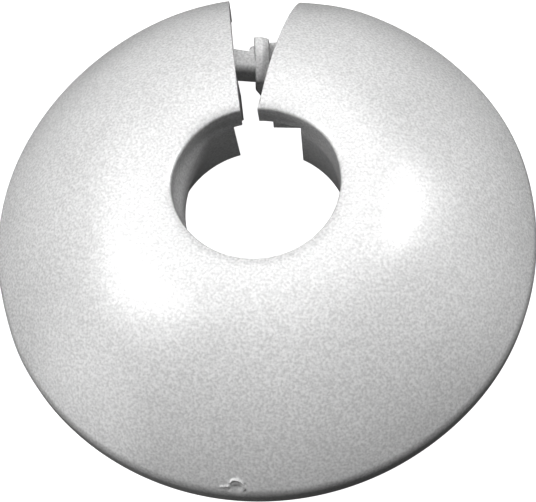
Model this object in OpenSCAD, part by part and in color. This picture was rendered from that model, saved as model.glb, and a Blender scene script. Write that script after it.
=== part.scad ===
// Split pipe rosette: one moulded white plastic ring with a domed face, an
// inner collar round the pipe, a V-shaped split and a snap latch under it.
// Units mm, +Z up, bore axis on Z, rim resting on the plane Z = 0.
// The split opens towards +Y.

/* [Outer ring] */
// Outer radius at the resting edge
rim_r = 27.5; // [26.5:0.1:29]
// Straight height of the rim wall before the shoulder
rim_h = 1.75; // [1.2:0.05:2.5]
// Shoulder rounding between rim wall and dome
shoulder_r = 1.2; // [0.9:0.05:1.6]
// Wall thickness of the ring
wall_t = 1.4; // [1.1:0.05:1.8]

/* [Dome] */
// Radius of the ball that gives the outer part of the dome
dome_r = 39.5; // [38:0.5:43]
// Radius of the rounding at the top of the dome
arc_top = 10.4; // [8:0.1:10.4]
// Distance of the crest of the dome from the bore axis
crest_r = 10.5; // [10.5:0.05:11]

/* [Collar] */
// Bore radius of the straight land that holds the pipe
bore_r = 7.9; // [7.7:0.05:8.1]
// Rounding of the lip at the top of the bore
lip_r = 0.5; // [0.3:0.01:0.7]
// Height of the lower end of the straight land
land_z = 7.6; // [7:0.1:8.2]
// Bore radius at the foot of the collar
foot_r = 8.95; // [8.6:0.05:9.2]
// Wall thickness of the collar
collar_t = 1.2; // [1:0.05:1.5]
// Depth of the swelling on the left of the bore
nib_h = 0.95; // [0.5:0.05:1.1]
// Height of the middle of that swelling
nib_z = 5.5; // [4.5:0.1:6]

/* [Split] */
// Left face of the split: distance left of the axis at the centre line
split_lx = 0.685; // [0.5:0.01:0.9]
// Left face of the split: angle from the centre line, degrees
split_la = 9.16; // [8:0.01:10]
// Right face of the split: distance left of the axis at the centre line
split_rx = 1.36; // [1.2:0.01:1.5]
// Right face of the split: angle from the centre line, degrees
split_ra = 8.89; // [8:0.01:10]
// Distance from the axis at which the right face starts to lean in
split_ny = 8.62; // [8.4:0.01:8.8]

/* [Collar windows] */
// Left side of the window cut in the collar
win_l = 2.78; // [2.6:0.01:2.9]
// Right side of the window cut in the collar
win_r = 3.9; // [3.5:0.01:4.2]
// Top of the window left of the split
win_zl = 7.9; // [7.4:0.05:8.2]
// Top of the window right of the split
win_zr = 8.35; // [8:0.05:8.7]
// Lower edge of the flat web behind the right window
web_z = 6.85; // [6.4:0.05:7.2]

/* [Latch] */
// Lower face of the latch bar
bar_z0 = 1.5; // [1.2:0.05:1.8]
// Upper face of the latch bar
bar_z1 = 3.9; // [3.6:0.05:4.1]
// Front face of the latch bar at the cross head
bar_y0 = 16.78; // [16.6:0.01:17]
// Back face of the latch bar at the cross head
bar_y1 = 18.95; // [18.8:0.01:19.2]
// Front end of the cross head
head_y0 = 15.75; // [15.5:0.01:16]
// Back end of the cross head
head_y1 = 20.92; // [20.7:0.01:21]
// Left face of the cross head at its middle
head_x0 = -1.58; // [-1.65:0.01:-1.5]
// Right face of the cross head at its middle
head_x1 = 0; // [-0.1:0.01:0.1]
// Turn of the cross head away from square, degrees
head_a = 4.6; // [3:0.1:6]
// Upper face of the cross head
head_z1 = 4; // [3.9:0.05:4.1]

/* [Hidden] */
$fn = 96;
e = 0.01;

// centres and tangent points of the outer profile, from the rim inwards
sh_c = [rim_r - 0.1 - shoulder_r, rim_h];
slope_out = asin(sh_c[0] / (dome_r - shoulder_r));
p0 = sh_c + shoulder_r * [sin(slope_out), cos(slope_out)];
c1 = [0, p0[1] - dome_r * cos(slope_out)];
slope_in = asin(crest_r / (dome_r - arc_top));
p1 = c1 + dome_r * [sin(slope_in), cos(slope_in)];
c2 = p1 - arc_top * [sin(slope_in), cos(slope_in)];
// lip circle tangent to the top arc from inside and to the bore wall
lip_x = bore_r + lip_r;
lip_y = c2[1] + sqrt(pow(arc_top - lip_r, 2) - pow(lip_x - c2[0], 2));
lip_d = arc_top / (arc_top - lip_r);
p3 = c2 + lip_d * ([lip_x, lip_y] - c2);

// what a round corner takes away: everything above height c[1] between a and b
// that isn't inside the disc (centre c, radius r)
module corner(c, r, a, b) {
    difference() {
        translate([a, c[1]]) square([b - a, 40]);
        translate(c) circle(r);
    }
}

// region between the bore and the rim, under the outer surface
module outer_region() {
    difference() {
        intersection() {
            translate(c1) circle(dome_r);
            polygon([[foot_r, 0], [rim_r, 0], [rim_r - 0.1, rim_h], [rim_r - 0.1, 30],
                     [bore_r, 30], [bore_r, land_z]]);
        }
        corner(c2, arc_top, 0, p1[0]);
        corner([lip_x, lip_y], lip_r, 0, p3[0]);
        corner(sh_c, shoulder_r, p0[0], rim_r + 1);
    }
}

// hollow under the dome, g = wall thickness
module inner_region(g) {
    difference() {
        intersection() {
            translate(c1) circle(dome_r - g);
            polygon([[foot_r + collar_t, -1], [rim_r - 0.1 - g, -1], [rim_r - 0.1 - g, 30],
                     [bore_r + collar_t, 30], [bore_r + collar_t, land_z],
                     [foot_r + collar_t, 0]]);
        }
        corner(c2, arc_top - g, 0, p1[0] - g * sin(slope_in));
    }
}

// half section of ring and collar
module section() {
    difference() {
        outer_region();
        inner_region(wall_t);
    }
}

// ball just under the outer surface, keeps the parts under the dome inside it
module under_ball() {
    translate([0, 0, c1[1]]) sphere(dome_r - 0.6);
}

// V-shaped opening of the split, tall enough to cut the whole ring; the right
// face leans towards the left one close to the bore
module split_cut() {
    tl = tan(split_la);
    tr = tan(split_ra);
    nx = -split_rx + tr * split_ny;
    ay = (-split_lx - nx + 0.4 * split_ny) / (0.4 + tl);
    ax = -split_lx - tl * ay;
    translate([0, 0, -5]) linear_extrude(30)
        polygon([[ax, ay], [nx, split_ny], [-split_rx + tr * 40, 40], [-split_lx - tl * 40, 40]]);
}

// windows cut through the collar on both sides of the split; the left side of
// the left one leans away from the split towards the outside, and the top of the
// right one rises at its end
module window_cut() {
    intersection() {
        translate([-5, 4, -1]) cube([4.1, 6.6, win_zl + 1]);
        translate([-win_l, 7.4, 7.9]) rotate([0, -2.7, 19.8]) translate([0, -12, -14]) cube([14, 24, 20]);
    }
    translate([0, 10.6, 0]) rotate([90, 0, 0]) linear_extrude(6.6)
        polygon([[-0.9 - e, -1], [win_r, -1], [win_r, win_zr + 0.7], [2.7, win_zr], [-0.9 - e, win_zr]]);
}

// ring with dome, collar, split and windows
module ring() {
    difference() {
        rotate_extrude() section();
        split_cut();
        window_cut();
    }
}

// low swelling inside the bore on the left, widest at nib_z
module nib() {
    ec = 2.5;
    rr = bore_r + (foot_r - bore_r) * (land_z - nib_z) / land_z - nib_h + ec;
    intersection() {
        translate([0.996 * ec, 0.087 * ec, nib_z]) rotate_extrude() translate([rr + 3, 0]) circle(3);
        translate([0, 0, 0.3]) cylinder(h = 9, r = bore_r + 0.9);
        translate([-12, -12, 0]) cube([12, 24, 9]);
    }
}

// flat web behind the right window
module right_web() {
    translate([1.1, 8, web_z]) cube([win_r - 0.8, 1.2, 10.3 - web_z]);
}

// web along the left face of the split, from the collar towards the latch,
// standing out a little beyond the face
module left_web() {
    fx = -split_lx * cos(split_la);
    rotate([0, 0, split_la]) translate([fx - 1.2, 0, 0]) rotate([90, 0, 90]) linear_extrude(1.4)
        polygon([[8.4, 7.95], [11.6, 2.6], [14.6, 2.6], [14.6, 9.2], [8.4, 10]]);
}

// rectangle with corners (a, b) and (c, d), corners cut by r
module crect(a, b, c, d, r) {
    polygon([[a + r, b], [c - r, b], [c, b + r], [c, d - r],
             [c - r, d], [a + r, d], [a, d - r], [a, b + r]]);
}

// bar of the latch, narrowing towards the head, and its bracket under the left half
module bar() {
    difference() {
        translate([0, 0, bar_z0]) linear_extrude(bar_z1 - bar_z0)
            polygon([[-7, bar_y0 + 0.39], [-1.2, bar_y0], [-1.2, bar_y1 - 0.05], [-7, bar_y1 + 1.03]]);
        // round on the upper front edge
        translate([-1.2, bar_y0, bar_z1]) rotate([0, 0, -3.85]) translate([-9, 0, 0])
            rotate([90, 0, 90]) linear_extrude(10) corner([0.7, -0.7], 0.7, -0.1, 0.7);
    }
    intersection() {
        translate([-7.4, bar_y0 - 0.3, bar_z0 - 0.3]) cube([2.9, 3.6, 10]);
        under_ball();
    }
}

// cross head at the end of the bar, lower left corner cut away
module head() {
    hy = (head_y0 + head_y1) / 2;
    translate([0, hy, 0]) rotate([0, 0, head_a]) translate([0, -hy, 0]) {
        intersection() {
            translate([0, head_y1, 0]) rotate([90, 0, 0]) linear_extrude(head_y1 - head_y0)
                polygon([[head_x0, head_z1 + 0.2], [head_x0 + 0.35, head_z1 + 0.22],
                         [head_x0 + 0.75, head_z1 + 0.14], [head_x0 + 1.15, head_z1 - 0.06],
                         [head_x1, head_z1 - 0.32], [head_x1, 0.15],
                         [head_x0 + 0.42, 0.15], [head_x0 - 0.1, 1.55]]);
            rotate([90, 0, 90]) translate([0, 0, -4]) linear_extrude(6)
                polygon([[head_y0 + 0.15, 0.1], [head_y1 - 0.15, 0.1], [head_y1, 0.25],
                         [head_y1, head_z1 + 0.05], [head_y1 - 0.15, head_z1 + 0.2],
                         [head_y0 + 0.2, head_z1 - 0.25], [head_y0, head_z1 - 0.45], [head_y0, 0.25]]);
        }
        translate([head_x0 - 0.1, 19.5, bar_z0 + 0.1]) cylinder(h = bar_z1 - bar_z0 - 0.15, r = 0.45);
    }
}

// slotted receiver under the right half, with a low lip whose mouth faces the cross head
module receiver() {
    rx = head_x1 + 0.05;
    hy = (head_y0 + head_y1) / 2;
    translate([0, hy, 0]) rotate([0, 0, head_a]) translate([0, -hy, 0]) difference() {
        union() {
            translate([rx + 1.6, 0, 0]) rotate([90, 0, 90]) linear_extrude(5)
                crect(16.2, 0.6, 20.8, 2.6, 0.15);
            translate([rx, 0, 0]) rotate([90, 0, 90]) linear_extrude(2.2)
                crect(16.3, 0.7, 21.3, 2.4, 0.12);
            intersection() {
                translate([3.6, 16.35, 2]) cube([rx + 6.5 - 3.6, 3.5, 8]);
                translate([0, hy, 0]) rotate([0, 0, -head_a]) translate([0, -hy, 0]) under_ball();
            }
        }
        translate([-1, 17.3, -1]) cube([6.2, 1.6, 4.1]);
    }
}

// the whole moulded piece
module rosette() {
    color([0.93, 0.93, 0.92]) union() {
        ring();
        nib();
        right_web();
        left_web();
        bar();
        head();
        receiver();
    }
}

rosette();
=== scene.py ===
import math

import bmesh
import bpy
from mathutils import Matrix, Vector


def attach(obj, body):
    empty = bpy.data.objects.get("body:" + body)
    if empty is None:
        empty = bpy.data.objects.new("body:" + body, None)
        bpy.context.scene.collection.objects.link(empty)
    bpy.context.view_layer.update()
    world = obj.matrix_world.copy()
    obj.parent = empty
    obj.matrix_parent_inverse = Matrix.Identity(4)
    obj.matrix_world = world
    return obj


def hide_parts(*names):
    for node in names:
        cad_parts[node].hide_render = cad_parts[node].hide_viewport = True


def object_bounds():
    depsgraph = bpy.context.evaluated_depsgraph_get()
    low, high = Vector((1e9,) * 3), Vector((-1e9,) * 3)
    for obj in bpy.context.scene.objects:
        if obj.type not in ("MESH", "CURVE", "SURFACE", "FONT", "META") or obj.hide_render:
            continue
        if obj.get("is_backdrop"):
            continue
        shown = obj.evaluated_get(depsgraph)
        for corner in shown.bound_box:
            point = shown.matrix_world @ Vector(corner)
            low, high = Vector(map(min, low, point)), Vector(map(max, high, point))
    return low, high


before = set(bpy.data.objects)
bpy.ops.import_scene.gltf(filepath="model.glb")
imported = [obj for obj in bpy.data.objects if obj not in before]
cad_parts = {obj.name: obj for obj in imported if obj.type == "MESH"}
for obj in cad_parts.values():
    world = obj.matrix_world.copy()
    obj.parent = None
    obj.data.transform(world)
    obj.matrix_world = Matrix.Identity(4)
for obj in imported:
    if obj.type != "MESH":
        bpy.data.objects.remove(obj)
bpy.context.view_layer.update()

MM = 0.001

# ---------------------------------------------------------------- dimensions (mm)
RIM_R, RIM_H, SHOULDER = 27.5, 1.46, 1.9
WALL = 1.4
DOME_R, TOP_R = 33.0, 17.0
SLOPE_OUT, SLOPE_IN = math.radians(45.5), math.radians(22.5)
BORE_R, LIP_R, LAND_Z, FOOT_R, COLLAR_T = 7.9, 0.3, 7.6, 8.95, 1.2
CREST_IN = 3.2
SPLIT_LX, SPLIT_LA = 0.685, math.radians(9.16)
SPLIT_RX, SPLIT_RA, SPLIT_NY = 1.36, math.radians(8.89), 8.62
EDGE = 0.12

SH = (RIM_R - 0.1 - SHOULDER, RIM_H)
P0 = (SH[0] + SHOULDER * math.sin(SLOPE_OUT), SH[1] + SHOULDER * math.cos(SLOPE_OUT))
C1 = (P0[0] - DOME_R * math.sin(SLOPE_OUT), P0[1] - DOME_R * math.cos(SLOPE_OUT))
P1 = (C1[0] + DOME_R * math.sin(SLOPE_IN), C1[1] + DOME_R * math.cos(SLOPE_IN))
C2 = (P1[0] - TOP_R * math.sin(SLOPE_IN), P1[1] - TOP_R * math.cos(SLOPE_IN))
LIP_X = BORE_R + LIP_R
C3 = (C2[0], C2[1] + TOP_R - CREST_IN)
LIP_Y = C3[1] + math.sqrt((CREST_IN - LIP_R) ** 2 - (LIP_X - C3[0]) ** 2)
K3 = CREST_IN / (CREST_IN - LIP_R)
P3 = (C3[0] + K3 * (LIP_X - C3[0]), C3[1] + K3 * (LIP_Y - C3[1]))


def arc(c, r, a0, a1, n):
    """Points of an arc, angles measured from +Z towards +R, both ends included."""
    out = []
    for i in range(n + 1):
        a = a0 + (a1 - a0) * i / n
        out.append((c[0] + r * math.sin(a), c[1] + r * math.cos(a)))
    return out


def line(p, q, n):
    """Points from p towards q, p included and q left out."""
    return [(p[0] + (q[0] - p[0]) * i / n, p[1] + (q[1] - p[1]) * i / n) for i in range(n)]


def rounded(p, c, q, r, n=4):
    """Corner c of the path p-c-q rounded with radius r."""
    v1 = Vector((p[0] - c[0], p[1] - c[1])).normalized()
    v2 = Vector((q[0] - c[0], q[1] - c[1])).normalized()
    half = v1.angle(v2) / 2
    t = r / math.tan(half)
    m = Vector(c) + (v1 + v2).normalized() * (r / math.sin(half))
    s, e = Vector(c) + v1 * t - m, Vector(c) + v2 * t - m
    turn = s.angle_signed(e)
    out = []
    for i in range(n + 1):
        a = -turn * i / n
        out.append((m.x + s.x * math.cos(a) - s.y * math.sin(a), m.y + s.x * math.sin(a) + s.y * math.cos(a)))
    return out


def ring_profile():
    """Closed section of ring and collar, up the bore, over the dome and back under it."""
    a3 = math.atan2(P3[0] - C3[0], P3[1] - C3[1])
    lip_a = math.atan2(P3[0] - LIP_X, P3[1] - LIP_Y)
    gi = WALL
    ix = RIM_R - 0.1 - gi
    iz = C1[1] + math.sqrt((DOME_R - gi) ** 2 - (ix - C1[0]) ** 2)
    ia = math.atan2(ix - C1[0], iz - C1[1])
    jx = BORE_R + COLLAR_T
    jz = C2[1] + math.sqrt((TOP_R - gi) ** 2 - (jx - C2[0]) ** 2)
    ja = math.atan2(jx - C2[0], jz - C2[1])
    foot_i, foot_o = (FOOT_R, 0.0), (FOOT_R + COLLAR_T, 0.0)
    pts = []
    start = rounded(foot_o, foot_i, (BORE_R, LAND_Z), 0.25)
    pts += start
    pts += line(start[-1], (BORE_R, LAND_Z), 14)[1:]
    pts += line((BORE_R, LAND_Z), (BORE_R, LIP_Y), 5)
    pts += arc((LIP_X, LIP_Y), LIP_R, -math.pi / 2, lip_a, 14)
    pts += arc(C3, CREST_IN, a3, 0.0, 14)[1:]
    pts += arc(C2, TOP_R, 0.0, SLOPE_IN, 14)[1:]
    near = SLOPE_OUT - math.radians(2.6)
    pts += arc(C1, DOME_R, SLOPE_IN, near, 34)[1:]
    pts += arc(C1, DOME_R, near, SLOPE_OUT, 18)[1:]
    pts += arc(SH, SHOULDER, SLOPE_OUT, math.pi / 2, 14)[1:]
    rim_foot = rounded((RIM_R - 0.1, RIM_H), (RIM_R, 0.0), (ix, 0.0), 0.18)
    pts += line((RIM_R - 0.1, RIM_H), rim_foot[0], 6)[1:]
    pts += rim_foot
    in_foot = rounded((RIM_R, 0.0), (ix, 0.0), (ix, iz), 0.12)
    pts += in_foot
    pts += line(in_foot[-1], (ix, iz), 4)[1:]
    pts += arc(C1, DOME_R - gi, ia, SLOPE_IN, 30)
    pts += arc(C2, TOP_R - gi, SLOPE_IN, ja, 10)[1:]
    out_foot = rounded((jx, LAND_Z), foot_o, foot_i, 0.2)
    pts += line((jx, jz), (jx, LAND_Z), 4)[1:]
    pts += line((jx, LAND_Z), out_foot[0], 10)
    pts += out_foot
    return pts


def profile_normals(pts):
    """Outward normals in the section plane, for the loop direction used above."""
    n = len(pts)
    out = []
    for i in range(n):
        a, b = pts[(i - 1) % n], pts[(i + 1) % n]
        d = Vector((b[0] - a[0], b[1] - a[1]))
        d.normalize()
        out.append((-d.y, d.x))
    return out


def th_line(r, x0, slope, d):
    """Angle from +Y towards +X at which radius r meets the line x = x0 + slope * y, d mm beyond it."""
    k = math.sqrt(1 + slope * slope)
    return math.atan(slope) + math.asin((x0 + d * k) / (r * k))


def th_right(r, d):
    """The same for the right split face, which leans in close to the bore."""
    tr = math.tan(SPLIT_RA)
    nx = -SPLIT_RX + tr * SPLIT_NY
    far = th_line(r, -SPLIT_RX, tr, d)
    near = th_line(r, nx - 0.4 * SPLIT_NY, 0.4, d)
    if r * math.cos(far) >= SPLIT_NY:
        return far
    return near if r * math.cos(near) < SPLIT_NY else far


def th_left(r, d):
    k = 1 / math.cos(SPLIT_LA)
    return -SPLIT_LA + math.asin((-SPLIT_LX - d * k) / (r * k)) + 2 * math.pi


def edge_steps():
    """Distances from a split face and how far the section has shrunk there."""
    n = 5
    out = []
    for i in range(n + 1):
        a = math.pi / 2 * i / n
        out.append((EDGE * (1 - math.sin(a)), EDGE * (1 - math.cos(a))))
    out = [(d, s) for d, s in out]
    out.reverse()
    return out  # from (0, EDGE) to (EDGE, 0)


def column_list():
    """Interior columns as fractions of the way round, closer together at the front."""
    out = []
    t = 0.0
    while t < 1.0:
        t += 1 / 300 if not 0.478 < t < 0.522 else 1 / 1800
        if t < 0.9985:
            out.append(t)
    return out


def bump_bore(th, r, z):
    """Low swelling on the left of the bore wall, widest at z = 5.5."""
    if r > 9.0 or z > 10.2 or z < 0.3:
        return 0.0
    a = math.degrees(th)
    d = (a - 272) / 46
    if abs(d) >= 1:
        return 0.0
    f = math.cos(d * math.pi / 2) ** 0.8
    g = (z - 5.5) / (4.4 if z > 5.5 else 4.9)
    if abs(g) >= 1:
        return 0.0
    return 0.97 * f * (1 - g * g) ** 1.3


def lip_in(th, r, z):
    """The mouth of the bore stands in a little at the back."""
    if z < 8.6 or r > 9.6:
        return 0.0
    a = (math.degrees(th) + 20 + 180) % 360 - 180
    f = max(0.0, min(1.0, (82 - abs(a)) / 45))
    g = min(1.0, (z - 8.6) / 1.8) * max(0.0, min(1.0, (9.6 - r) / 1.3))
    return 0.29 * f * f * (3 - 2 * f) * g * g * (3 - 2 * g)


def out_of_round(th):
    """Share by which the relaxed ring falls short of a circle (the negative parts stand out a little)."""
    a = math.degrees(th)
    out = 0.0
    for mid, width, depth in ((307, 40, 0.0195), (267, 46, 0.0165), (247, 12, 0.004), (1, 22, 0.0195),
                              (34, 26, 0.004), (68, 22, -0.005), (118, 30, -0.004), (180, 52, -0.0045)):
        d = ((a - mid + 180) % 360 - 180) / width
        if abs(d) < 1 and (mid != 1 or a < 180):
            out += depth * math.cos(d * math.pi / 2) ** 2
    return out


def seg_dist(p, a, b):
    d = (b[0] - a[0], b[1] - a[1])
    t = max(0.0, min(1.0, ((p[0] - a[0]) * d[0] + (p[1] - a[1]) * d[1]) / (d[0] ** 2 + d[1] ** 2)))
    return math.hypot(p[0] - a[0] - t * d[0], p[1] - a[1] - t * d[1])


GATE_RIDGE = [(-1.3, 26.4), (-1.12, 26.22), (-0.7, 26.2), (-0.36, 26.32), (-0.16, 26.5), (-0.1, 26.86)]


def gate_mark(th, r, z):
    """Rough trace of the cut gate on the front of the rim: how far the surface stands out there."""
    if not 178.5 < math.degrees(th) < 186.5 or r < 25.9 or z < 1.2:
        return 0.0
    p = (r * math.sin(th), r)
    d = min(seg_dist(p, a, b) for a, b in zip(GATE_RIDGE, GATE_RIDGE[1:]))
    out = 0.13 * math.exp(-((d / 0.1) ** 2))
    out += 0.08 * math.exp(-((seg_dist(p, (-2.25, 26.83), (-1.5, 26.72)) / 0.09) ** 2))
    q = ((p[0] + 0.76) / 0.46, (p[1] - 26.8) / (0.2 if p[1] < 26.8 else 0.42))
    out -= 0.17 * math.exp(-((q[0] ** 2 + q[1] ** 2) ** 1.5))
    for c in ((0.02, 26.52), (0.02, 27.0), (-1.42, 26.98)):
        out -= 0.09 * math.exp(-((math.hypot(p[0] - c[0], p[1] - c[1]) / 0.1) ** 2))
    return out


def build_ring():
    prof = ring_profile()
    nrm = profile_normals(prof)
    steps = edge_steps()
    bm = bmesh.new()
    cols = []

    def column(kind, value):
        verts = []
        for (r, z), (nr, nz) in zip(prof, nrm):
            if kind == "mid":
                a, b = th_right(r, EDGE * 2), th_left(r, EDGE * 2)
                th = a + (b - a) * value
                rr, zz = r, z
            else:
                d, s = value
                rr, zz = r - s * nr, z - s * nz
                th = th_right(rr, d) if kind == "right" else th_left(rr, d)
            rr -= bump_bore(th, rr, zz) + lip_in(th, rr, zz)
            g = gate_mark(th, rr, zz)
            if g and nz > 0.02:
                rr, zz = rr + g * nr, zz + g * nz
            rr *= 1 - out_of_round(th) * max(0.0, (rr - 9.0) / 18.5) ** 1.5
            verts.append(bm.verts.new((rr * math.sin(th) * MM, rr * math.cos(th) * MM, zz * MM)))
        return verts

    for st in steps:
        cols.append(column("right", st))
    cols.append(column("mid", 0.0))
    for t in column_list():
        cols.append(column("mid", t))
    cols.append(column("mid", 1.0))
    for st in reversed(steps):
        cols.append(column("left", st))
    n = len(prof)
    for a, b in zip(cols, cols[1:]):
        for i in range(n):
            j = (i + 1) % n
            bm.faces.new((a[i], b[i], b[j], a[j]))
    bm.faces.new(cols[0])
    bm.faces.new(list(reversed(cols[-1])))
    bmesh.ops.recalc_face_normals(bm, faces=bm.faces[:])
    me = bpy.data.meshes.new("rosette_body")
    bm.to_mesh(me)
    bm.free()
    ob = bpy.data.objects.new("rosette_body", me)
    bpy.context.collection.objects.link(ob)
    return ob


def prism(name, outline, lo, hi, axis, bevel=0.0, segments=2, turn=0.0):
    """Closed prism of an outline in mm. axis x: outline is (y, z); axis y: (x, z); axis z: (x, y)."""
    bm = bmesh.new()

    def place(p, h):
        if axis == "x":
            v = Vector((h, p[0], p[1]))
        elif axis == "y":
            v = Vector((p[0], h, p[1]))
        else:
            v = Vector((p[0], p[1], h))
        if turn:
            v = Matrix.Rotation(turn, 3, "Z") @ v
        return v * MM

    a = [bm.verts.new(place(p, lo)) for p in outline]
    b = [bm.verts.new(place(p, hi)) for p in outline]
    n = len(outline)
    for i in range(n):
        j = (i + 1) % n
        bm.faces.new((a[i], a[j], b[j], b[i]))
    bm.faces.new(list(reversed(a)))
    bm.faces.new(b)
    bmesh.ops.recalc_face_normals(bm, faces=bm.faces[:])
    if bevel:
        bmesh.ops.bevel(bm, geom=bm.edges[:], offset=bevel * MM, offset_type="OFFSET", segments=segments,
                        profile=0.5, affect="EDGES", clamp_overlap=True)
        bmesh.ops.recalc_face_normals(bm, faces=bm.faces[:])
    me = bpy.data.meshes.new(name)
    bm.to_mesh(me)
    bm.free()
    ob = bpy.data.objects.new(name, me)
    bpy.context.collection.objects.link(ob)
    return ob


def boolean(ob, other, op):
    m = ob.modifiers.new("cut", "BOOLEAN")
    m.operation = op
    m.solver = "EXACT"
    m.object = other
    bpy.context.view_layer.update()
    dg = bpy.context.evaluated_depsgraph_get()
    me = bpy.data.meshes.new_from_object(ob.evaluated_get(dg))
    ob.modifiers.clear()
    old = ob.data
    ob.data = me
    bpy.data.meshes.remove(old)
    bpy.data.objects.remove(other)


def rect(a, b, c, d):
    return [(a, b), (c, b), (c, d), (a, d)]


def leaning_web():
    """Web along the left split face whose right side stands out further at the bottom."""
    bm = bmesh.new()
    fx = -SPLIT_LX * math.cos(SPLIT_LA)
    m = Matrix.Rotation(SPLIT_LA, 3, "Z")
    outline = [(8.35, 7.9), (11.6, 2.6), (14.6, 2.6), (14.6, 10.0), (11.5, 10.6), (8.35, 10.6)]

    def right(z):
        return fx - 0.2 + (10.6 - z) * 0.036

    a = [bm.verts.new((m @ Vector((right(z), y, z))) * MM) for y, z in outline]
    b = [bm.verts.new((m @ Vector((fx - 1.1, y, z))) * MM) for y, z in outline]
    n = len(outline)
    for i in range(n):
        j = (i + 1) % n
        bm.faces.new((a[i], a[j], b[j], b[i]))
    bm.faces.new(list(reversed(a)))
    bm.faces.new(b)
    bmesh.ops.recalc_face_normals(bm, faces=bm.faces[:])
    me = bpy.data.meshes.new("web_l")
    bm.to_mesh(me)
    bm.free()
    ob = bpy.data.objects.new("web_l", me)
    bpy.context.collection.objects.link(ob)
    return ob


def bar_section(y0, y1, z0, z1, big, small):
    """Outline (y, z) of the bar: wide round on the upper front edge, small ones elsewhere."""
    out = []
    for cy, cz, r, a0, n in ((y0 + small, z0 + small, small, 180, 4), (y1 - small, z0 + small, small, 270, 4),
                             (y1 - small, z1 - small, small, 0, 4), (y0 + big, z1 - big, big, 90, 14)):
        for i in range(n + 1):
            a = math.radians(a0 + 90 * i / n)
            out.append((cy + r * math.cos(a), cz + r * math.sin(a)))
    return out


def loft(name, sec_a, xa, sec_b, xb):
    """Closed solid between two outlines (y, z) with the same number of points."""
    bm = bmesh.new()
    a = [bm.verts.new((xa * MM, y * MM, z * MM)) for y, z in sec_a]
    b = [bm.verts.new((xb * MM, y * MM, z * MM)) for y, z in sec_b]
    n = len(a)
    for i in range(n):
        j = (i + 1) % n
        bm.faces.new((a[i], a[j], b[j], b[i]))
    bm.faces.new(list(reversed(a)))
    bm.faces.new(b)
    bmesh.ops.recalc_face_normals(bm, faces=bm.faces[:])
    me = bpy.data.meshes.new(name)
    bm.to_mesh(me)
    bm.free()
    ob = bpy.data.objects.new(name, me)
    bpy.context.collection.objects.link(ob)
    return ob


def sphere_z(x, y, g):
    """Height of the inside of the dome (g below the outer surface) above a point."""
    r = math.hypot(x, y)
    c, rad = (C1, DOME_R) if r > P1[0] else (C2, TOP_R)
    return c[1] + math.sqrt((rad - g) ** 2 - (r - c[0]) ** 2)


def under_dome(name, x0, x1, y0, y1, z0, g=0.5, bevel=0.12, n=4, clip=None):
    """Block that grows from the inside of the dome down to z0."""
    bm = bmesh.new()
    top, low = {}, {}
    for i in range(n + 1):
        for j in range(n + 1):
            x, y = x0 + (x1 - x0) * i / n, y0 + (y1 - y0) * j / n
            top[i, j] = bm.verts.new((x * MM, y * MM, sphere_z(x, y, g) * MM))
            low[i, j] = bm.verts.new((x * MM, y * MM, z0 * MM))
    for i in range(n):
        for j in range(n):
            bm.faces.new((top[i, j], top[i + 1, j], top[i + 1, j + 1], top[i, j + 1]))
            bm.faces.new((low[i, j], low[i, j + 1], low[i + 1, j + 1], low[i + 1, j]))
        bm.faces.new((low[i, 0], low[i + 1, 0], top[i + 1, 0], top[i, 0]))
        bm.faces.new((low[i, n], top[i, n], top[i + 1, n], low[i + 1, n]))
    for j in range(n):
        bm.faces.new((low[0, j], top[0, j], top[0, j + 1], low[0, j + 1]))
        bm.faces.new((low[n, j], low[n, j + 1], top[n, j + 1], top[n, j]))
    bmesh.ops.recalc_face_normals(bm, faces=bm.faces[:])
    me = bpy.data.meshes.new(name)
    bm.to_mesh(me)
    bm.free()
    ob = bpy.data.objects.new(name, me)
    bpy.context.collection.objects.link(ob)
    return ob


def left_window():
    """Cutter of the left window: flat top at WIN_ZL, left side leaning away outwards."""
    bm = bmesh.new()
    k = 0.0456

    def side(y, z):
        return -WIN_L - 7.9 * k * (y - 7.4) - 1.1 * k * (z - 7.9)

    lo = [(side(4, -1), 4, -1), (-0.9, 4, -1), (-0.9, 10.6, -1), (side(10.6, -1), 10.6, -1)]
    hi = [(side(4, WIN_ZL), 4, WIN_ZL), (-0.9, 4, WIN_ZL), (-0.9, 10.6, WIN_ZL), (side(10.6, WIN_ZL), 10.6, WIN_ZL)]
    a = [bm.verts.new(Vector(p) * MM) for p in lo]
    b = [bm.verts.new(Vector(p) * MM) for p in hi]
    for i in range(4):
        j = (i + 1) % 4
        bm.faces.new((a[i], a[j], b[j], b[i]))
    bm.faces.new(list(reversed(a)))
    bm.faces.new(b)
    bmesh.ops.recalc_face_normals(bm, faces=bm.faces[:])
    me = bpy.data.meshes.new("cut_l")
    bm.to_mesh(me)
    bm.free()
    ob = bpy.data.objects.new("cut_l", me)
    bpy.context.collection.objects.link(ob)
    return ob


# ---------------------------------------------------------------- the moulding
body = build_ring()
WIN_L, WIN_R, WIN_ZL, WIN_ZR = 2.78, 3.9, 7.9, 8.35
boolean(body, left_window(), "DIFFERENCE")
boolean(body, prism("cut_r", [(-0.9, -1.0), (WIN_R, -1.0), (WIN_R, WIN_ZR + 0.7), (2.7, WIN_ZR), (-0.9, WIN_ZR)],
                    4.0, 10.6, "y"), "DIFFERENCE")

parts = []
# web behind the right window and web along the left split face
parts.append(prism("web_r", rect(1.1, 8.0, 4.05, 9.2), 6.85, 10.2, "z", bevel=0.08))
parts.append(leaning_web())
# latch bar, narrowing towards the head, and its bracket
parts.append(loft("bar", bar_section(17.05, 19.98, 1.5, 3.9, 0.7, 0.15), -7.0,
                  bar_section(16.66, 18.95, 1.5, 3.9, 0.7, 0.15), -1.2))
parts.append(under_dome("bar_bracket", -7.4, -4.5, 16.6, 20.1, 1.2))
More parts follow.
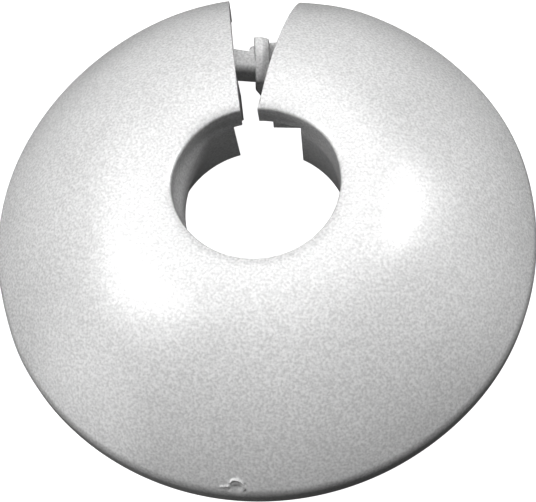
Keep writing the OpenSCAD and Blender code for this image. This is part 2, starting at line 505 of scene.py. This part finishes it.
# cross head, turned a little out of square
HX0, HX1, HY0, HY1, HZ1 = -1.58, 0.0, 15.75, 20.92, 4.0
HEAD_TURN = math.radians(4.6)
head = prism("head", [(HX0, HZ1 + 0.2), (HX0 + 0.35, HZ1 + 0.22), (HX0 + 0.75, HZ1 + 0.14), (HX0 + 1.15, HZ1 - 0.06),
                      (HX1, HZ1 - 0.32), (HX1, 0.15), (HX0 + 0.42, 0.15), (HX0 - 0.1, 1.55)],
             HY0, HY1, "y", bevel=0.2, segments=4)
# its top falls towards the bore, more and more, and its front edge is rubbed round
bm = bmesh.new()
bm.from_mesh(head.data)
for cut in (15.95, 16.05, 16.15, 16.3, 16.45, 16.7, 17.1, 17.6, 18.2, 18.9, 19.6, 20.3):
    bmesh.ops.bisect_plane(bm, geom=bm.verts[:] + bm.edges[:] + bm.faces[:], dist=1e-7,
                           plane_co=(0, cut * MM, 0), plane_no=(0, 1, 0))
for v in bm.verts:
    if v.co.z > 3.0 * MM:
        d = HY1 - v.co.y / MM
        v.co.z -= (0.03 * d + 0.02 * d * d + 0.45 * max(0.0, d - 4.4) ** 2) * MM
bm.to_mesh(head.data)
bm.free()
bump = [(HX0 - 0.1 + 0.45 * math.cos(a * math.pi / 10), 19.5 + 0.45 * math.sin(a * math.pi / 10)) for a in range(20)]
head_bump = prism("head_bump", bump, 1.6, 3.85, "z", bevel=0.08)
# slotted receiver
RX0 = HX1 + 0.15
recv = prism("receiver", rect(16.2, 0.6, 20.8, 2.6), RX0 + 1.6, RX0 + 6.6, "x", bevel=0.15)
boolean(recv, prism("slot", rect(-1.0, 17.3, 5.2, 18.9), -1.0, 3.1, "z"), "DIFFERENCE")
recv_lip = prism("receiver_lip", rect(16.3, 0.7, 21.3, 2.4), HX1 - 0.02, RX0 + 2.2, "x", bevel=0.12)
boolean(recv_lip, prism("slot", rect(-1.0, 17.3, 5.2, 18.9), -1.0, 3.1, "z"), "DIFFERENCE")
mid = Vector((0, (HY0 + HY1) / 2, 0)) * MM
turn = Matrix.Translation(mid) @ Matrix.Rotation(HEAD_TURN, 4, "Z") @ Matrix.Translation(-mid)
for o in (head, head_bump, recv, recv_lip):
    o.data.transform(turn)
    parts.append(o)
parts.append(under_dome("recv_bracket", 3.4, RX0 + 6.3, 16.7, 20.1, 2.0))

bpy.ops.object.select_all(action="DESELECT")
for p in parts:
    p.select_set(True)
body.select_set(True)
bpy.context.view_layer.objects.active = body
bpy.ops.object.join()
body.data.polygons.foreach_set("use_smooth", [True] * len(body.data.polygons))
body.data.set_sharp_from_angle(angle=math.radians(32))


# ---------------------------------------------------------------- material
def nodes_of(mat):
    mat.use_nodes = True
    nt = mat.node_tree
    nt.nodes.clear()
    return nt


def plastic():
    mat = bpy.data.materials.new("white_plastic")
    nt = nodes_of(mat)
    N, L = nt.nodes, nt.links
    out = N.new("ShaderNodeOutputMaterial")
    bs = N.new("ShaderNodeBsdfPrincipled")
    L.new(bs.outputs["BSDF"], out.inputs["Surface"])
    co = N.new("ShaderNodeTexCoord")
    # faint clouding of the white
    n1 = N.new("ShaderNodeTexNoise")
    n1.inputs["Scale"].default_value = 90.0
    n1.inputs["Detail"].default_value = 3.0
    L.new(co.outputs["Object"], n1.inputs["Vector"])
    n2 = N.new("ShaderNodeTexNoise")
    n2.inputs["Scale"].default_value = 4200.0
    n2.inputs["Detail"].default_value = 1.0
    L.new(co.outputs["Object"], n2.inputs["Vector"])
    r1 = N.new("ShaderNodeMapRange")
    r1.inputs["From Min"].default_value = 0.3
    r1.inputs["From Max"].default_value = 0.7
    r1.inputs["To Min"].default_value = 0.0
    r1.inputs["To Max"].default_value = 1.0
    L.new(n1.outputs["Fac"], r1.inputs["Value"])
    mx = N.new("ShaderNodeMix")
    mx.data_type = "RGBA"
    mx.inputs["A"].default_value = (0.80, 0.80, 0.80, 1)
    mx.inputs["B"].default_value = (0.84, 0.84, 0.84, 1)
    L.new(r1.outputs["Result"], mx.inputs["Factor"])
    r2 = N.new("ShaderNodeMapRange")
    r2.inputs["From Min"].default_value = 0.3
    r2.inputs["From Max"].default_value = 0.7
    r2.inputs["To Min"].default_value = 0.865
    r2.inputs["To Max"].default_value = 1.115
    L.new(n2.outputs["Fac"], r2.inputs["Value"])
    mul = N.new("ShaderNodeMix")
    mul.data_type = "RGBA"
    mul.blend_type = "MULTIPLY"
    mul.inputs["Factor"].default_value = 1.0
    L.new(mx.outputs["Result"], mul.inputs["A"])
    L.new(r2.outputs["Result"], mul.inputs["B"])
    # two small dark specks, one on the dome and one on the bore wall
    last = mul.outputs["Result"]
    for place, size, depth in (((0.01627, 0.01107, 0.00823), 0.00016, 0.45), ((0.005776, 0.00539, 0.00492), 0.00020, 0.5)):
        ds = N.new("ShaderNodeVectorMath")
        ds.operation = "DISTANCE"
        L.new(co.outputs["Object"], ds.inputs[0])
        ds.inputs[1].default_value = place
        r3 = N.new("ShaderNodeMapRange")
        r3.inputs["From Min"].default_value = size * 0.4
        r3.inputs["From Max"].default_value = size
        r3.inputs["To Min"].default_value = depth
        r3.inputs["To Max"].default_value = 0.0
        L.new(ds.outputs["Value"], r3.inputs["Value"])
        sp = N.new("ShaderNodeMix")
        sp.data_type = "RGBA"
        sp.inputs["B"].default_value = (0.12, 0.12, 0.12, 1)
        L.new(r3.outputs["Result"], sp.inputs["Factor"])
        L.new(last, sp.inputs["A"])
        last = sp.outputs["Result"]
    L.new(last, bs.inputs["Base Color"])
    rr = N.new("ShaderNodeMapRange")
    rr.inputs["From Min"].default_value = 0.3
    rr.inputs["From Max"].default_value = 0.7
    rr.inputs["To Min"].default_value = 0.28
    rr.inputs["To Max"].default_value = 0.32
    L.new(n1.outputs["Fac"], rr.inputs["Value"])
    L.new(rr.outputs["Result"], bs.inputs["Roughness"])
    bs.inputs["IOR"].default_value = 1.49
    bs.inputs["Specular IOR Level"].default_value = 1.0
    bp = N.new("ShaderNodeBump")
    bp.inputs["Strength"].default_value = 0.25
    bp.inputs["Distance"].default_value = 0.00002
    L.new(n2.outputs["Fac"], bp.inputs["Height"])
    L.new(bp.outputs["Normal"], bs.inputs["Normal"])
    return mat


mat = plastic()
body.data.materials.clear()
body.data.materials.append(mat)
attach(body, "root")
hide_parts("rosette")

# ---------------------------------------------------------------- stage
fm = bpy.data.materials.new("floor")
nt = nodes_of(fm)
o = nt.nodes.new("ShaderNodeOutputMaterial")
add = nt.nodes.new("ShaderNodeAddShader")
em = nt.nodes.new("ShaderNodeEmission")
em.inputs["Color"].default_value = (1, 1, 1, 1)
em.inputs["Strength"].default_value = 1.0
df = nt.nodes.new("ShaderNodeBsdfDiffuse")
df.inputs["Color"].default_value = (0.3, 0.3, 0.3, 1)
nt.links.new(em.outputs[0], add.inputs[0])
nt.links.new(df.outputs[0], add.inputs[1])
nt.links.new(add.outputs[0], o.inputs["Surface"])
me = bpy.data.meshes.new("floor")
s = 0.6
me.from_pydata([(-s, -s, 0), (s, -s, 0), (s, s, 0), (-s, s, 0)], [], [(0, 1, 2, 3)])
floor = bpy.data.objects.new("floor", me)
bpy.context.collection.objects.link(floor)
floor.location.z = -0.00002
me.materials.append(fm)
floor.visible_diffuse = False
floor.visible_glossy = False
floor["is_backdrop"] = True

# light that comes back from the pale surface, kept out of the camera's sight
bm_ = bpy.data.materials.new("bounce")
nt = nodes_of(bm_)
o = nt.nodes.new("ShaderNodeOutputMaterial")
em2 = nt.nodes.new("ShaderNodeEmission")
em2.inputs["Color"].default_value = (1, 1, 1, 1)
em2.inputs["Strength"].default_value = 0.154
nt.links.new(em2.outputs[0], o.inputs["Surface"])
me = bpy.data.meshes.new("bounce")
s = 0.12
me.from_pydata([(-s, -s, 0), (s, -s, 0), (s, s, 0), (-s, s, 0)], [], [(0, 1, 2, 3)])
bounce = bpy.data.objects.new("bounce", me)
bpy.context.collection.objects.link(bounce)
bounce.location.z = -0.00005
me.materials.append(bm_)
bounce.visible_camera = False
bounce.visible_glossy = False
bounce.visible_transmission = False
bounce.visible_shadow = False
bounce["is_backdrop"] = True

# ---------------------------------------------------------------- camera
cam_data = bpy.data.cameras.new("camera")
cam = bpy.data.objects.new("camera", cam_data)
bpy.context.collection.objects.link(cam)
cam_data.sensor_width = 36.0
cam_data.lens = 67.97
cam_data.clip_start, cam_data.clip_end = 0.005, 5.0
cam.matrix_world = Matrix((
    (0.99715764, -0.02423865, 0.07133810, 0.00803046),
    (0.05040474, 0.91836131, -0.39251990, -0.04291039),
    (-0.056, 0.395, 0.91697274, 0.09454909),
    (0, 0, 0, 1)))
bpy.context.scene.camera = cam

# ---------------------------------------------------------------- light
LIGHTS = [
    # azimuth (0 = +X, 90 = +Y), elevation, distance, size, power
    ("right_key", 30, 52, 0.6, 0.2, 0.74),
    ("left_key", 180, 50, 0.6, 0.3, 0.62),
    ("front_low", 212, 9, 0.6, 0.42, 0.60),
    ("left_front", 195, 52, 0.6, 0.3, 0.55),
    ("left_back", 150, 62, 0.6, 0.3, 0.46),
    ("back", 102, 57, 0.6, 0.4, 0.41),
    ("right_mid", 30, 40, 0.6, 0.3, 0.38),
    ("right_wide", 6, 46, 0.6, 0.62, 0.36),
    ("top", 0, 88, 0.6, 0.4, 0.29),
    ("right_c", 60, 60, 0.6, 0.3, 0.26),
    ("back_left", 145, 40, 0.6, 0.3, 0.24),
    ("left_high", 190, 64, 0.6, 0.2, 0.23),
    ("right_low", 0, 12, 0.6, 0.4, 0.22),
    ("front_high", 270, 60, 0.6, 0.5, 0.17),
    ("back_right", 85, 45, 0.6, 0.3, 0.17),
    ("back_high", 100, 75, 0.6, 0.3, 0.14),
    ("front_left", 235, 20, 0.6, 0.4, 0.07),
    ("right_box", 50, 57, 0.6, 0.36, 0.07),
    ("low_right", 330, 10, 0.6, 0.4, 0.03),
]
for name, az, el, dist, size, power in LIGHTS:
    ld = bpy.data.lights.new(name, "AREA")
    ld.shape = "DISK"
    ld.size = size
    ld.energy = power
    lo = bpy.data.objects.new(name, ld)
    bpy.context.collection.objects.link(lo)
    a, e = math.radians(az), math.radians(el)
    d = Vector((math.cos(a) * math.cos(e), math.sin(a) * math.cos(e), math.sin(e)))
    lo.location = d * dist
    lo.rotation_mode = "QUATERNION"
    lo.rotation_quaternion = (-d).to_track_quat("-Z", "Y")
world = bpy.data.worlds.new("studio")
bpy.context.scene.world = world
world.use_nodes = True
bg = world.node_tree.nodes["Background"]
bg.inputs["Color"].default_value = (1, 1, 1, 1)
bg.inputs["Strength"].default_value = 0.003
bpy.context.scene.view_settings.view_transform = "Standard"
bpy.context.scene.view_settings.gamma = 0.667

lo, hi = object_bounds()
